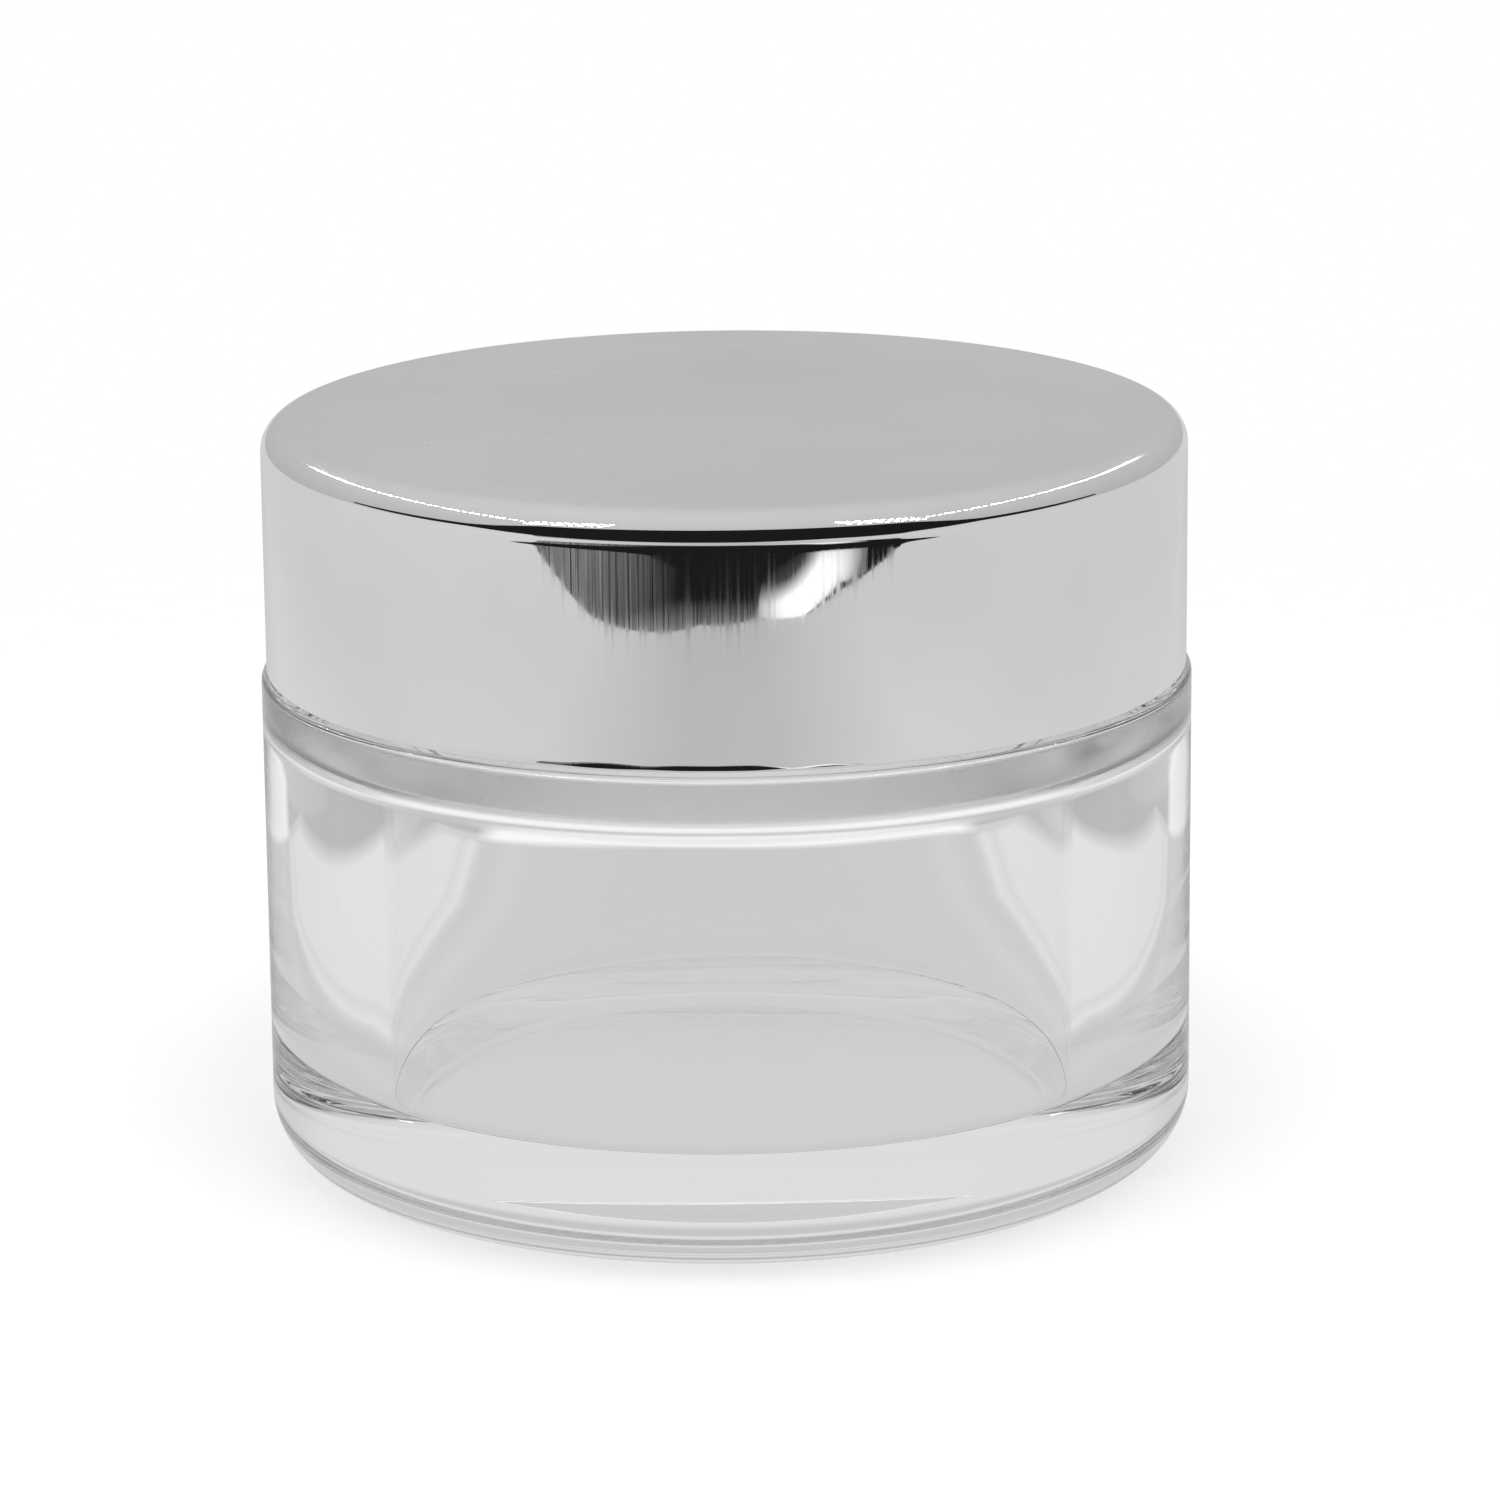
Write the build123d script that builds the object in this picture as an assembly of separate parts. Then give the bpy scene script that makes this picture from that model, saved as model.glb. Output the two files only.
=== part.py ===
"""A 50 ml cosmetic cream jar: a heavy clear glass jar with a screw cap.

The frame: the origin is the centre of the ring that the jar stands on, and +Z is up along the jar's axis.
The cap is closed. It is an aluminium shell over a threaded plastic inner cap, with a foam liner in it. A
removable plastic sealing disc lies on the jar's rim. All sizes are in millimetres.
"""

import os
from math import cos, pi, radians, sin, tan

from build123d import *

# ---- Driving dimensions of the whole object ----
JAR_RADIUS = 31.0
TOTAL_HEIGHT = 49.8
SHOULDER_Z = 33.0
RIM_Z = 46.0

# ---- Glass: outside ----
HEEL_RADIUS = 4.2
SHOULDER_EDGE_RADIUS = 0.5
NECK_RADIUS = 25.6
NECK_FILLET = 0.8
LIP_OUTER_RADIUS = 1.2
LIP_INNER_RADIUS = 0.8
PUNT_RADIUS = 22.5
PUNT_DEPTH = 0.15

# ---- Glass: inside ----
BORE_RADIUS = 20.2
WELL_TOP_RADIUS = 23.3
WELL_FOOT_RADIUS = 23.1
WELL_SHOULDER_Z = 27.7
SHOULDER_TURN_RADIUS = 1.7
SHOULDER_CONE_DEG = 43.0
FLOOR_Z = 6.7
FLOOR_FILLET = 0.6
FLOOR_DIP = 0.2

# ---- Thread: one right-hand start, shared by the jar and the inner cap ----
LEAD = 4.0
THREAD_TURNS = 1.25
THREAD_EMBED = 0.35
RUN_OUT_DEG = 15.0
RUN_OUT_NARROWING = 0.6
RUN_OUT_SINK = 0.1
JAR_THREAD_START_Z = 38.3
JAR_THREAD_START_DEG = 0.0
JAR_THREAD_HEIGHT = 1.25
JAR_THREAD_ROOT = 2.3
JAR_THREAD_CREST = 1.0
CAP_THREAD_DROP = 1.45
CAP_THREAD_LAG_DEG = 90.0
CAP_THREAD_HEIGHT = 1.2
CAP_THREAD_ROOT = 1.7
CAP_THREAD_CREST = 0.7

# ---- Aluminium shell ----
SHELL_RADIUS = 30.65
SHELL_WALL = 0.45
SHELL_TOP_EDGE_RADIUS = 1.8
SHELL_FOOT_Z = 33.3
SHELL_CURL_RADIUS = 0.5
SHELL_CURL_LIP = 0.25

# ---- Inner cap ----
INNER_CAP_TOP_Z = 49.0
INNER_CAP_PLATE = 1.15
INNER_CAP_FOOT_Z = 33.9
INNER_CAP_BORE = 27.15
INNER_CAP_WALL = 1.25
INNER_CAP_FLANGE_RADIUS = 30.1
INNER_CAP_FLANGE = 1.2
INNER_CAP_TOP_CHAMFER = 0.9
INNER_CAP_LEAD_IN = 0.6
GRIP_RIB_CLEARANCE = 0.01
GRIP_RIB_WIDTH = 0.8
GRIP_RIB_COUNT = 24
GRIP_RIB_OVERLAP = 0.2
BEAD_DEPTH = 0.45
BEAD_HEIGHT = 0.9
BEAD_CREST = 0.2

# ---- Liner, sealing disc and glue ----
LINER_THICKNESS = 1.0
LINER_RADIUS = 26.9
LINER_GAP = 0.05
DISC_RADIUS = 25.2
DISC_FLANGE = 0.7
DISC_RIM_GAP = 0.05
DISC_EDGE_RADIUS = 0.25
PLUG_RADIUS = 20.0
PLUG_WALL = 0.8
PLUG_DEPTH = 3.0
PLUG_LEAD_IN = 0.3
DISC_FLOOR = 0.8
TAB_WIDTH = 15.0
TAB_LENGTH = 17.0
TAB_THICKNESS = 0.7
TAB_RIB_COUNT = 3
TAB_RIB_PITCH = 2.2
TAB_RIB_WIDTH = 0.7
TAB_RIB_LENGTH = 8.0
TAB_RIB_DEPTH = 0.4
TAB_RIB_FIRST = 3.0
GLUE_DOT_COUNT = 6
GLUE_DOT_RADIUS = 2.2
GLUE_RING_RADIUS = 18.0

# ---- Worked out from those ----
TURN_ACROSS = SHOULDER_TURN_RADIUS * (1 - cos(radians(SHOULDER_CONE_DEG)))
TURN_RISE = SHOULDER_TURN_RADIUS * sin(radians(SHOULDER_CONE_DEG))
CONE_ACROSS = WELL_TOP_RADIUS - BORE_RADIUS - 2 * TURN_ACROSS
CONE_RISE = CONE_ACROSS / tan(radians(SHOULDER_CONE_DEG))
BORE_FOOT_Z = WELL_SHOULDER_Z + 2 * TURN_RISE + CONE_RISE
SHELL_INNER_RADIUS = SHELL_RADIUS - SHELL_WALL
SHELL_INNER_TOP_Z = TOTAL_HEIGHT - SHELL_WALL
PLATE_FOOT_Z = INNER_CAP_TOP_Z - INNER_CAP_PLATE
LINER_TOP_Z = PLATE_FOOT_Z - LINER_GAP
LINER_FOOT_Z = LINER_TOP_Z - LINER_THICKNESS
BEAD_Z = LINER_FOOT_Z - LINER_GAP - BEAD_HEIGHT / 2
DISC_FOOT_Z = RIM_Z + DISC_RIM_GAP
DISC_TOP_Z = DISC_FOOT_Z + DISC_FLANGE
PLUG_FOOT_Z = RIM_Z - PLUG_DEPTH
PLUG_FLOOR_Z = PLUG_FOOT_Z + DISC_FLOOR

UP = (0, 1)
DOWN = (0, -1)
OUTWARDS = (1, 0)
INWARDS = (-1, 0)


def turned(*edges):
    """The solid of revolution about Z whose half section the edges close, drawn as (radius, height)."""
    return revolve(Plane.XZ * make_face(Curve() + list(edges)), axis=Axis.Z)


def ring(outer, inner, foot, top):
    """A plain ring about Z."""
    return turned(Polyline((inner, foot), (outer, foot), (outer, top), (inner, top), close=True))


def thread_section(turn_deg, radius, height, root, crest, outward):
    """The ridge's trapezium, square to the helix, where the helix has turned that far about Z."""
    side = 1 if outward else -1
    outwards = Vector(1, 0, 0).rotate(Axis.Z, turn_deg)
    along = Vector(0, radius, LEAD / (2 * pi)).rotate(Axis.Z, turn_deg)
    centre = outwards * radius + Vector(0, 0, LEAD * turn_deg / 360)
    foot, tip = -side * THREAD_EMBED, side * height
    corners = [(foot, -root / 2), (tip, -crest / 2), (tip, crest / 2), (foot, root / 2)]
    return Plane(origin=centre, x_dir=outwards, z_dir=along) * make_face(Polyline(*corners, close=True))


def thread(radius, height, root, crest, outward):
    """A helical ridge on a round wall, from the angle 0 and the height 0, that sinks into the wall at its ends."""
    last_deg = 360 * THREAD_TURNS
    helix = Helix(pitch=LEAD, height=LEAD * THREAD_TURNS, radius=radius)
    ridge = sweep(thread_section(0, radius, height, root, crest, outward), path=helix, is_frenet=True)
    for full_deg, sunk_deg in ((0, -RUN_OUT_DEG), (last_deg, last_deg + RUN_OUT_DEG)):
        full = thread_section(full_deg, radius, height, root, crest, outward)
        narrow_root, narrow_crest = root * RUN_OUT_NARROWING, crest * RUN_OUT_NARROWING
        sunk = thread_section(sunk_deg, radius, -RUN_OUT_SINK, narrow_root, narrow_crest, outward)
        ridge += loft([full, sunk], ruled=True)
    return ridge


def glass_jar():
    """The heavy glass jar: a straight wall, a rounded heel, a shallow punt and a threaded neck."""
    cone_foot = (WELL_TOP_RADIUS - TURN_ACROSS, WELL_SHOULDER_Z + TURN_RISE)
    cone_top = (BORE_RADIUS + TURN_ACROSS, BORE_FOOT_Z - TURN_RISE)
    heel_foot = (JAR_RADIUS - HEEL_RADIUS, 0)
    edge_top = (JAR_RADIUS - SHOULDER_EDGE_RADIUS, SHOULDER_Z)
    neck_foot = (NECK_RADIUS, SHOULDER_Z + NECK_FILLET)
    neck_root = (NECK_RADIUS + NECK_FILLET, SHOULDER_Z)
    neck_top = (NECK_RADIUS, RIM_Z - LIP_OUTER_RADIUS)
    rim_outer = (NECK_RADIUS - LIP_OUTER_RADIUS, RIM_Z)
    rim_inner = (BORE_RADIUS + LIP_INNER_RADIUS, RIM_Z)
    bore_top = (BORE_RADIUS, RIM_Z - LIP_INNER_RADIUS)
    bore_foot = (BORE_RADIUS, BORE_FOOT_Z)
    well_top = (WELL_TOP_RADIUS, WELL_SHOULDER_Z)
    well_foot = (WELL_FOOT_RADIUS, FLOOR_Z + FLOOR_FILLET)
    floor_edge = (WELL_FOOT_RADIUS - FLOOR_FILLET, FLOOR_Z)
    outside = [
        TangentArc((0, PUNT_DEPTH), (PUNT_RADIUS, 0), tangent=OUTWARDS),
        Line((PUNT_RADIUS, 0), heel_foot),
        TangentArc(heel_foot, (JAR_RADIUS, HEEL_RADIUS), tangent=OUTWARDS),
        Line((JAR_RADIUS, HEEL_RADIUS), (JAR_RADIUS, SHOULDER_Z - SHOULDER_EDGE_RADIUS)),
        TangentArc((JAR_RADIUS, SHOULDER_Z - SHOULDER_EDGE_RADIUS), edge_top, tangent=UP),
        Line(edge_top, neck_root),
        TangentArc(neck_root, neck_foot, tangent=INWARDS),
        Line(neck_foot, neck_top),
        TangentArc(neck_top, rim_outer, tangent=UP),
    ]
    inside = [
        Line(rim_outer, rim_inner),
        TangentArc(rim_inner, bore_top, tangent=INWARDS),
        Line(bore_top, bore_foot),
        TangentArc(bore_foot, cone_top, tangent=DOWN),
        Line(cone_top, cone_foot),
        TangentArc(well_top, cone_foot, tangent=UP),
        Line(well_top, well_foot),
        TangentArc(well_foot, floor_edge, tangent=DOWN),
        TangentArc((0, FLOOR_Z - FLOOR_DIP), floor_edge, tangent=OUTWARDS),
        Line((0, FLOOR_Z - FLOOR_DIP), (0, PUNT_DEPTH)),
    ]
    ridge = thread(NECK_RADIUS, JAR_THREAD_HEIGHT, JAR_THREAD_ROOT, JAR_THREAD_CREST, outward=True)
    return turned(*outside, *inside) + Pos(0, 0, JAR_THREAD_START_Z) * Rot(0, 0, JAR_THREAD_START_DEG) * ridge


def cap_shell():
    """The drawn aluminium shell: a flat top, a rounded top edge and a foot curled inwards."""
    wall_foot_z = SHELL_FOOT_Z + SHELL_CURL_RADIUS
    wall_top_z = TOTAL_HEIGHT - SHELL_TOP_EDGE_RADIUS
    curl_r = SHELL_RADIUS - SHELL_CURL_RADIUS
    edge_r = SHELL_RADIUS - SHELL_TOP_EDGE_RADIUS
    lip_r = curl_r - SHELL_CURL_LIP
    return turned(
        Line((lip_r, SHELL_FOOT_Z), (curl_r, SHELL_FOOT_Z)),
        TangentArc((curl_r, SHELL_FOOT_Z), (SHELL_RADIUS, wall_foot_z), tangent=OUTWARDS),
        Line((SHELL_RADIUS, wall_foot_z), (SHELL_RADIUS, wall_top_z)),
        TangentArc((SHELL_RADIUS, wall_top_z), (edge_r, TOTAL_HEIGHT), tangent=UP),
        Polyline((edge_r, TOTAL_HEIGHT), (0, TOTAL_HEIGHT), (0, SHELL_INNER_TOP_Z), (edge_r, SHELL_INNER_TOP_Z)),
        TangentArc((edge_r, SHELL_INNER_TOP_Z), (SHELL_INNER_RADIUS, wall_top_z), tangent=OUTWARDS),
        Line((SHELL_INNER_RADIUS, wall_top_z), (SHELL_INNER_RADIUS, wall_foot_z)),
        TangentArc((SHELL_INNER_RADIUS, wall_foot_z), (curl_r, SHELL_FOOT_Z + SHELL_WALL), tangent=DOWN),
        Polyline((curl_r, SHELL_FOOT_Z + SHELL_WALL), (lip_r, SHELL_FOOT_Z + SHELL_WALL), (lip_r, SHELL_FOOT_Z)),
    )


def grip_rib():
    """One upright rib on the inner cap's outside, at the angle 0, that grips the shell."""
    inner = INNER_CAP_BORE + INNER_CAP_WALL - GRIP_RIB_OVERLAP
    outer = SHELL_INNER_RADIUS - GRIP_RIB_CLEARANCE
    foot = INNER_CAP_FOOT_Z + INNER_CAP_FLANGE - GRIP_RIB_OVERLAP
    top = PLATE_FOOT_Z + GRIP_RIB_OVERLAP
    corner = (Align.MIN, Align.CENTER, Align.MIN)
    blank = Box(2 * (outer - inner), GRIP_RIB_WIDTH, top - foot, align=corner)
    return Pos(inner, 0, foot) * blank & ring(outer, inner, foot, top)


def inner_cap():
    """The moulded inner cap: a top plate, a threaded skirt with a flange, grip ribs and a bead for the liner."""
    skirt_r = INNER_CAP_BORE + INNER_CAP_WALL
    flange_top_z = INNER_CAP_FOOT_Z + INNER_CAP_FLANGE
    body = turned(
        Polyline(
            (INNER_CAP_BORE + INNER_CAP_LEAD_IN, INNER_CAP_FOOT_Z),
            (INNER_CAP_FLANGE_RADIUS, INNER_CAP_FOOT_Z),
            (INNER_CAP_FLANGE_RADIUS, flange_top_z),
            (skirt_r, flange_top_z),
            (skirt_r, PLATE_FOOT_Z),
            (INNER_CAP_FLANGE_RADIUS, PLATE_FOOT_Z),
            (INNER_CAP_FLANGE_RADIUS, INNER_CAP_TOP_Z - INNER_CAP_TOP_CHAMFER),
            (INNER_CAP_FLANGE_RADIUS - INNER_CAP_TOP_CHAMFER, INNER_CAP_TOP_Z),
            (0, INNER_CAP_TOP_Z),
            (0, PLATE_FOOT_Z),
            (INNER_CAP_BORE, PLATE_FOOT_Z),
            (INNER_CAP_BORE, INNER_CAP_FOOT_Z + INNER_CAP_LEAD_IN),
            close=True,
        )
    )
    bead = turned(
        Polyline(
            (INNER_CAP_BORE + THREAD_EMBED, BEAD_Z - BEAD_HEIGHT / 2),
            (INNER_CAP_BORE, BEAD_Z - BEAD_HEIGHT / 2),
            (INNER_CAP_BORE - BEAD_DEPTH, BEAD_Z - BEAD_CREST / 2),
            (INNER_CAP_BORE - BEAD_DEPTH, BEAD_Z + BEAD_CREST / 2),
            (INNER_CAP_BORE, BEAD_Z + BEAD_HEIGHT / 2),
            (INNER_CAP_BORE + THREAD_EMBED, BEAD_Z + BEAD_HEIGHT / 2),
            close=True,
        )
    )
    start_z = JAR_THREAD_START_Z - CAP_THREAD_DROP - LEAD * CAP_THREAD_LAG_DEG / 360
    start_deg = JAR_THREAD_START_DEG - CAP_THREAD_LAG_DEG
    ridge = thread(INNER_CAP_BORE, CAP_THREAD_HEIGHT, CAP_THREAD_ROOT, CAP_THREAD_CREST, outward=False)
    ribs = [Rot(0, 0, 360 * index / GRIP_RIB_COUNT) * grip_rib() for index in range(GRIP_RIB_COUNT)]
    return body + bead + Pos(0, 0, start_z) * Rot(0, 0, start_deg) * ridge + ribs


def cap_liner():
    """The foam liner disc, loose under the inner cap's top plate."""
    return Pos(0, 0, LINER_FOOT_Z) * Cylinder(
        LINER_RADIUS, LINER_THICKNESS, align=(Align.CENTER, Align.CENTER, Align.MIN)
    )


def pull_tab():
    """The disc's pull tab: a round-ended tongue from the rim towards the middle, with grip ribs under it."""
    tip_x = PLUG_RADIUS - TAB_LENGTH + TAB_WIDTH / 2
    root_x = PLUG_RADIUS - PLUG_WALL / 2
    plan = Pos((tip_x + root_x) / 2, 0) * Rectangle(root_x - tip_x, TAB_WIDTH) + Pos(tip_x, 0) * Circle(TAB_WIDTH / 2)
    tab = extrude(Pos(0, 0, DISC_TOP_Z - TAB_THICKNESS) * plan, TAB_THICKNESS)
    for index in range(TAB_RIB_COUNT):
        rib_x = PLUG_RADIUS - TAB_LENGTH + TAB_RIB_FIRST + index * TAB_RIB_PITCH
        rib_z = DISC_TOP_Z - TAB_THICKNESS - TAB_RIB_DEPTH
        low = (Align.CENTER, Align.CENTER, Align.MIN)
        tab += Pos(rib_x, 0, rib_z) * Box(TAB_RIB_WIDTH, TAB_RIB_LENGTH, 2 * TAB_RIB_DEPTH, align=low)
    return tab


def sealing_disc():
    """The removable disc that closes the neck: a flange on the rim, a plug in the bore and a pull tab."""
    floor_r = PLUG_RADIUS - PLUG_WALL
    edge_r = DISC_RADIUS - DISC_EDGE_RADIUS
    edge_z = DISC_TOP_Z - DISC_EDGE_RADIUS
    cup = turned(
        Polyline(
            (0, PLUG_FOOT_Z),
            (PLUG_RADIUS - PLUG_LEAD_IN, PLUG_FOOT_Z),
            (PLUG_RADIUS, PLUG_FOOT_Z + PLUG_LEAD_IN),
            (PLUG_RADIUS, DISC_FOOT_Z),
            (DISC_RADIUS, DISC_FOOT_Z),
            (DISC_RADIUS, edge_z),
        ),
        TangentArc((DISC_RADIUS, edge_z), (edge_r, DISC_TOP_Z), tangent=UP),
        Polyline(
            (edge_r, DISC_TOP_Z),
            (floor_r, DISC_TOP_Z),
            (floor_r, PLUG_FLOOR_Z),
            (0, PLUG_FLOOR_Z),
            (0, PLUG_FOOT_Z),
        ),
    )
    return cup + pull_tab()


def glue_dots():
    """The dots of glue that hold the inner cap in the shell, in one ring."""
    thickness = SHELL_INNER_TOP_Z - INNER_CAP_TOP_Z
    dot = Cylinder(GLUE_DOT_RADIUS, thickness, align=(Align.CENTER, Align.CENTER, Align.MIN))
    dots = [
        Rot(0, 0, 360 * index / GLUE_DOT_COUNT) * Pos(GLUE_RING_RADIUS, 0, INNER_CAP_TOP_Z) * dot
        for index in range(GLUE_DOT_COUNT)
    ]
    return Compound(children=dots)


PARTS = {
    "glass_jar": glass_jar,
    "cap_shell": cap_shell,
    "inner_cap": inner_cap,
    "cap_liner": cap_liner,
    "sealing_disc": sealing_disc,
    "glue_dots": glue_dots,
}

os.makedirs("parts", exist_ok=True)
for node, make in PARTS.items():
    export_step(make(), f"parts/{node}.step")
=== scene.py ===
"""The looks of a cosmetic cream jar: clear glass, an aluminium cap, its inner cap, liner and disc.

Everything is in metres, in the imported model's frame: Z is the jar's axis and the jar stands on Z = 0.
Most pieces are turned from a half section as a fine mesh, in the place and size of the CAD node that
they stand for. The studio has separate stage pieces for the camera, the glass and the metal: see there.
"""

from math import cos, pi, radians, sin, tan

import bpy
import numpy as np
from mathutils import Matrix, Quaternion, Vector


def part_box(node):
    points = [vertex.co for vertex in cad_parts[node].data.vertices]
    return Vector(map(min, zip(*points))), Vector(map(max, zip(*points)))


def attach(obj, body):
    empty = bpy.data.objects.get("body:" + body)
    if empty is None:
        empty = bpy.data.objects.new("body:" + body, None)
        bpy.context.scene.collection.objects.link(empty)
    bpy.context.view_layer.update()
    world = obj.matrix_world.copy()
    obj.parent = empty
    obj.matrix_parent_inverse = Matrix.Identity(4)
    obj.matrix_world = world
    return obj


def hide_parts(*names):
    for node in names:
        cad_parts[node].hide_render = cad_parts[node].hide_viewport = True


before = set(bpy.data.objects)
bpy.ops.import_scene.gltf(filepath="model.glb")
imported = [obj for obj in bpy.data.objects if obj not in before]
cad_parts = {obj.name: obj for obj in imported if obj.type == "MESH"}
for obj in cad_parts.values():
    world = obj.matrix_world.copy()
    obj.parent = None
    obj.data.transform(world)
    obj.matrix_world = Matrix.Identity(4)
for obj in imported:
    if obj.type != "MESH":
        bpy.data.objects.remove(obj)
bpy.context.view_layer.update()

MM = 0.001
SEED = 7

# ---- Sizes read from the frame ----
JAR_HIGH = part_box("glass_jar")[1]
SHELL_LOW, SHELL_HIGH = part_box("cap_shell")
INNER_LOW, INNER_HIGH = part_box("inner_cap")
LINER_LOW, LINER_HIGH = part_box("cap_liner")
DISC_LOW, DISC_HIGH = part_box("sealing_disc")
GLUE_LOW, GLUE_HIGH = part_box("glue_dots")

JAR_RADIUS = JAR_HIGH.x
RIM_Z = JAR_HIGH.z
SHELL_RADIUS = SHELL_HIGH.x
TOP_Z = SHELL_HIGH.z

# ---- Glass, the sizes inside its box ----
SHOULDER_Z = 33.0 * MM
HEEL_RADIUS = 4.2 * MM
SHOULDER_EDGE = 0.5 * MM
NECK_RADIUS = 25.6 * MM
NECK_FILLET = 0.8 * MM
LIP_OUTER = 1.2 * MM
LIP_INNER = 0.8 * MM
PUNT_RADIUS = 22.5 * MM
PUNT_DEPTH = 0.15 * MM
BORE_RADIUS = 20.2 * MM
WELL_TOP_RADIUS = 23.3 * MM
WELL_FOOT_RADIUS = 23.1 * MM
WELL_SHOULDER_Z = 27.7 * MM
TURN_RADIUS = 1.7 * MM
CONE_DEG = 43.0
FLOOR_Z = 6.7 * MM
FLOOR_FILLET = 0.6 * MM
FLOOR_DIP = 0.2 * MM
SATIN_FOOT = 27.2 * MM
SATIN_TOP = 31.2 * MM
SATIN_ROUGHNESS = 0.22
INNER_WALL_LIMIT = 24.0 * MM
WELL_WAVE = 0.02 * MM

# ---- Thread ----
LEAD = 4.0 * MM
THREAD_TURNS = 1.25
RUN_OUT_TURNS = 15.0 / 360.0
JAR_THREAD = {"start_z": 38.3 * MM, "start_turn": 0.0,
              "height": 1.25 * MM, "root": 2.3 * MM, "crest": 1.0 * MM}
CAP_THREAD = {"start_z": 35.85 * MM, "start_turn": -0.25,
              "height": 1.2 * MM, "root": 1.7 * MM, "crest": 0.7 * MM}

# ---- Cap shell ----
SHELL_WALL = 0.45 * MM
SHELL_EDGE = 1.8 * MM
SHELL_CURL = 0.5 * MM
SHELL_LIP = 0.25 * MM
SHELL_TIGHT = 0.12 * MM
GROOVE_DROP = 0.3 * MM
GROOVE_HALF = 0.2 * MM
GROOVE_DEPTH = 0.012 * MM
FLARE_HEIGHT = 0.6 * MM
FLARE = 0.04 * MM
FLARE_ANGLE_DEG = 101
FLARE_NARROWNESS = 14

# ---- Inner cap ----
PLATE = 1.15 * MM
INNER_BORE = 27.15 * MM
INNER_WALL = 1.25 * MM
INNER_FLANGE_RADIUS = 30.1 * MM
INNER_FLANGE = 1.2 * MM
INNER_CHAMFER = 0.9 * MM
INNER_LEAD_IN = 0.6 * MM
RIB_COUNT = 24
RIB_WIDTH = 0.8 * MM
BEAD_DEPTH = 0.45 * MM
BEAD_HEIGHT = 0.9 * MM
BEAD_GAP = 0.05 * MM

# ---- Sealing disc ----
DISC_FLANGE = 0.7 * MM
PLUG_RADIUS = 20.0 * MM
PLUG_WALL = 0.8 * MM
PLUG_LEAD_IN = 0.3 * MM
DISC_FLOOR = 0.8 * MM
TAB_WIDTH = 15.0 * MM
TAB_LENGTH = 17.0 * MM
TAB_THICKNESS = 0.7 * MM
TAB_RIB_COUNT = 3
TAB_RIB_FIRST = 3.0 * MM
TAB_RIB_PITCH = 2.2 * MM

# ---- Camera ----
CAMERA_LENS_MM = 155.97
CAMERA_SENSOR_MM = 36.0
CAMERA_DISTANCE = 436.1 * MM
CAMERA_ELEVATION_DEG = 14.81
CAMERA_ROLL_DEG = 0.584
CAMERA_TARGET = Vector((0, 0, 25.0 * MM))
CAMERA_AIM_RIGHT = 1.49 * MM
CAMERA_AIM_UP = 1.74 * MM

# ---- Brightness of what is seen through the glass: the painted floor, then the sky above it ----
SHADOW_GLOW = 0.59
LIT_GLOW = 0.76
SIDE_GLOW = 0.45
HORIZON_GLOW = 0.56
SKY_GLOW = 0.73
SIDE_SKY_GLOW = 0.62

# ---- What the metal mirrors ----
DARK = 0.012
CAP_FOCUS = 15 * MM
FRONT_Y = -0.226
STAGE_HALF = 3.0
LAMP_HALF = 1.7 * MM

SEGMENTS = 288


# ======== Half sections, as lists of (radius, height) ========

def line(start, end, steps=1):
    """Points along a straight line, without its last one."""
    return [tuple(np.array(start) + (np.array(end) - np.array(start)) * k / steps) for k in range(steps)]


def flat(start, end, steps=1, ease=0.06 * MM):
    """A line with an extra point close to each end, so that it stays flat beside a curve."""
    start, end = np.array(start, float), np.array(end, float)
    along = end - start
    share = min(0.25, ease / max(np.linalg.norm(along), 1e-9))
    inner = [start + along * (share + (1 - 2 * share) * k / steps) for k in range(steps + 1)]
    return [tuple(start)] + [tuple(p) for p in inner]


def arc(centre, radius, start_deg, end_deg, steps=10):
    """Points along an arc, without its last one. 0 degrees is outwards and 90 is up."""
    angles = [radians(start_deg + (end_deg - start_deg) * k / steps) for k in range(steps)]
    return [(centre[0] + radius * cos(a), centre[1] + radius * sin(a)) for a in angles]


def dome(radius, rise, foot_z, steps=14):
    """Points from the axis to the rim of a shallow dome whose middle is that much above its rim."""
    shares = [k / steps for k in range(steps)]
    return [(radius * s, foot_z + rise * (1 - s * s)) for s in shares]


def inner_shoulder(steps=10):
    """Points down from the bore, round a turn, along a cone and round another turn into the well."""
    turn = radians(CONE_DEG)
    across, rise = TURN_RADIUS * (1 - cos(turn)), TURN_RADIUS * sin(turn)
    cone_across = WELL_TOP_RADIUS - BORE_RADIUS - 2 * across
    foot_z = WELL_SHOULDER_Z + 2 * rise + cone_across / tan(turn)
    upper = arc((BORE_RADIUS + TURN_RADIUS, foot_z), TURN_RADIUS, 180, 180 + CONE_DEG, steps)
    lower = arc((WELL_TOP_RADIUS - TURN_RADIUS, WELL_SHOULDER_Z), TURN_RADIUS, CONE_DEG, 0, steps)
    cone_top = (BORE_RADIUS + across, foot_z - rise)
    return upper + flat(cone_top, lower[0], 6)[:-1] + lower


# ======== Meshes ========

def mesh_piece(name, points, faces, smooth=True):
    """A mesh object from points and faces."""
    mesh = bpy.data.meshes.new(name)
    mesh.from_pydata([tuple(p) for p in points], [], faces)
    mesh.validate()
    for polygon in mesh.polygons:
        polygon.use_smooth = smooth
    piece = bpy.data.objects.new(name, mesh)
    bpy.context.scene.collection.objects.link(piece)
    return piece


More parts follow.
